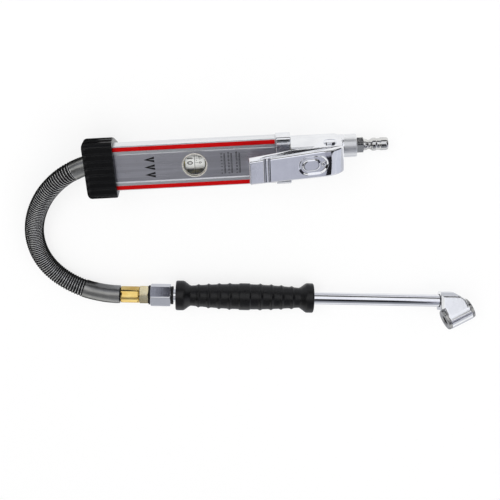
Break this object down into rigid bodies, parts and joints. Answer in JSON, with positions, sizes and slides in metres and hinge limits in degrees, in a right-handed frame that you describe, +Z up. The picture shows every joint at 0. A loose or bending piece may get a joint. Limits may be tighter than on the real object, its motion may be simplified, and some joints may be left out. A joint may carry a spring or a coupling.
{
  "type": "tyre inflator with gauge",
  "caption": "Hand tyre inflator: aluminium body with a window gauge and lever valve, a spring-guarded hose, and a gripped steel wand with a twin chuck.",
  "frame": {"origin": "on the surface that it lies on, under the middle of the box round its rigid pieces", "axes": "+X along the body and the wand, from the hose to the air inlet and the chuck; +Z up, out of the gauge's window; +Y from the wand to the body"},
  "size_m": [0.4579, 0.234, 0.0647],
  "materials": {
    "satin_aluminium": "satin, brushed along the body",
    "bare_aluminium": "machined",
    "chrome": "polished",
    "polished_steel": "polished",
    "brass": "bright",
    "steel": "plain",
    "spring_steel": "plain wire",
    "black_rubber": "matte",
    "seal_rubber": "matte",
    "red_plastic": "semi-gloss",
    "white_plastic": "matte",
    "clear_window": "clear"
  },
  "bodies": {
    "inflator": {"body_extrusion": "satin_aluminium", "end_cap": "bare_aluminium", "air_tube": "bare_aluminium", "head_casting": "chrome", "pivot_screw": "chrome", "pivot_nut": "chrome", "lens_bezel": "chrome", "inlet_plug": "polished_steel", "coupling_hex": "polished_steel", "wand_tube": "polished_steel", "chuck_head": "polished_steel", "chuck_nut_front": "polished_steel", "chuck_nut_rear": "polished_steel", "hose_tail_fitting": "brass", "hose_ferrule_body": "brass", "hose_ferrule_wand": "brass", "hose_nut": "brass", "valve_cap_nut": "brass", "gauge_cylinder": "brass", "gauge_frame": "brass", "end_cap_screw_1": "steel", "end_cap_screw_2": "steel", "end_cap_screw_3": "steel", "end_cap_screw_4": "steel", "flange_screw_1": "steel", "flange_screw_2": "steel", "flange_screw_3": "steel", "flange_screw_4": "steel", "hose_guard_spring": "spring_steel", "gauge_spring": "spring_steel", "valve_spring": "spring_steel", "chuck_spring_front": "spring_steel", "chuck_spring_rear": "spring_steel", "rubber_boot": "black_rubber", "grip_sleeve": "black_rubber", "air_hose": "black_rubber", "coupling_seal_left": "seal_rubber", "coupling_seal_right": "seal_rubber", "lens_seal": "seal_rubber", "head_gasket": "seal_rubber", "chuck_seal_front": "seal_rubber", "chuck_seal_rear": "seal_rubber", "air_tube_seal_front": "seal_rubber", "air_tube_seal_rear": "seal_rubber", "red_trim_upper": "red_plastic", "red_trim_lower": "red_plastic", "window_lens": "clear_window"},
    "lever": {"lever": "chrome"},
    "plunger": {"valve_plunger": "steel", "plunger_seal_upper": "seal_rubber", "plunger_seal_lower": "seal_rubber"},
    "piston": {"gauge_piston": "brass", "piston_seal": "seal_rubber", "twist_spindle": "steel"},
    "drum": {"scale_drum": "white_plastic"},
    "front_pin": {"chuck_pin_front": "brass"},
    "rear_pin": {"chuck_pin_rear": "brass"}
  },
  "joints": [
    {"name": "lever_press", "type": "hinge", "parent": "inflator", "child": "lever", "pos_m": [0.0383, 0.0888, 0.0332], "axis": [0, -1, 0], "range_deg": [0, 10], "stiffness_Nm_per_rad": 3, "springref_deg": -5.73},
    {"name": "valve_plunger_slide", "type": "slide", "parent": "inflator", "child": "plunger", "axis": [0, 0, -1], "range_m": [0, 0.0047], "deforming": ["valve_spring"]},
    {"name": "gauge_piston_slide", "type": "slide", "parent": "inflator", "child": "piston", "axis": [1, 0, 0], "range_m": [0, 0.02], "stiffness_N_per_m": 300, "deforming": ["gauge_spring"]},
    {"name": "scale_drum_spin", "type": "hinge", "parent": "inflator", "child": "drum", "pos_m": [-0.0888, 0.0888, 0.0245], "axis": [1, 0, 0], "range_deg": [0, 302]},
    {"name": "front_pin_slide", "type": "slide", "parent": "inflator", "child": "front_pin", "axis": [-0.9176, -0.3091, 0.2498], "range_m": [0, 0.002], "stiffness_N_per_m": 800, "deforming": ["chuck_spring_front"]},
    {"name": "rear_pin_slide", "type": "slide", "parent": "inflator", "child": "rear_pin", "axis": [0.9176, 0.3091, -0.2498], "range_m": [0, 0.002], "stiffness_N_per_m": 800, "deforming": ["chuck_spring_rear"]}
  ],
  "couplings": [
    {"joint": "valve_plunger_slide", "follows": "lever_press", "m_per_rad": 0.0258},
    {"joint": "scale_drum_spin", "follows": "gauge_piston_slide", "rad_per_m": 261.8}
  ]
}
